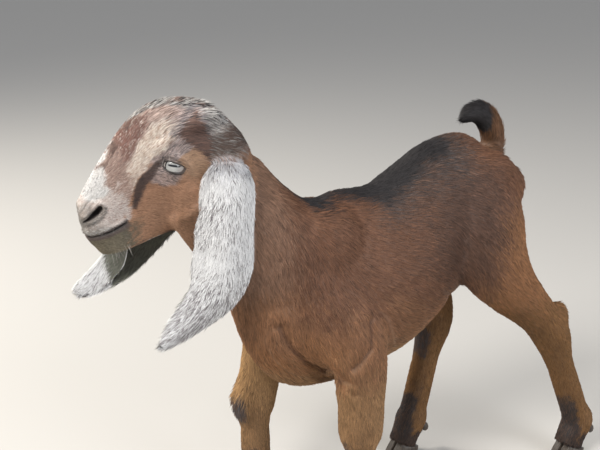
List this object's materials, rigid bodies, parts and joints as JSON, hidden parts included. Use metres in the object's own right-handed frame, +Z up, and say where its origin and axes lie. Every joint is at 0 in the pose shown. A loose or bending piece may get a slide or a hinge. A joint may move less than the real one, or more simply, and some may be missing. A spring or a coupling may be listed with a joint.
{
  "type": "goat kid",
  "caption": "Standing young long-eared goat with its head turned, drooping ears, cloven hooves and a raised tail; a still life-size model.",
  "frame": {"origin": "on the floor, under the middle of the whole goat's box", "axes": "+X from the head towards the tail, +Y towards the goat's right side, +Z up"},
  "size_m": [0.7196, 0.201, 0.5633],
  "materials": {
    "coat": "short matte hair",
    "tail_coat": "matte hair",
    "ear_coat": "short matte hair",
    "eye": "wet gloss",
    "hoof": "matte horn"
  },
  "bodies": {
    "root": {"head": "coat", "neck": "coat", "torso": "coat", "foreleg_left": "coat", "foreleg_right": "coat", "hindleg_left": "coat", "hindleg_right": "coat", "tail": "tail_coat", "ear_left": "ear_coat", "eye_left": "eye", "ear_right": "ear_coat", "eye_right": "eye", "hoof_foreleg_left_inner": "hoof", "dewclaw_foreleg_left_inner": "hoof", "hoof_foreleg_left_outer": "hoof", "dewclaw_foreleg_left_outer": "hoof", "hoof_foreleg_right_inner": "hoof", "dewclaw_foreleg_right_inner": "hoof", "hoof_foreleg_right_outer": "hoof", "dewclaw_foreleg_right_outer": "hoof", "hoof_hindleg_left_inner": "hoof", "dewclaw_hindleg_left_inner": "hoof", "hoof_hindleg_left_outer": "hoof", "dewclaw_hindleg_left_outer": "hoof", "hoof_hindleg_right_inner": "hoof", "dewclaw_hindleg_right_inner": "hoof", "hoof_hindleg_right_outer": "hoof", "dewclaw_hindleg_right_outer": "hoof"}
  },
  "joints": []
}
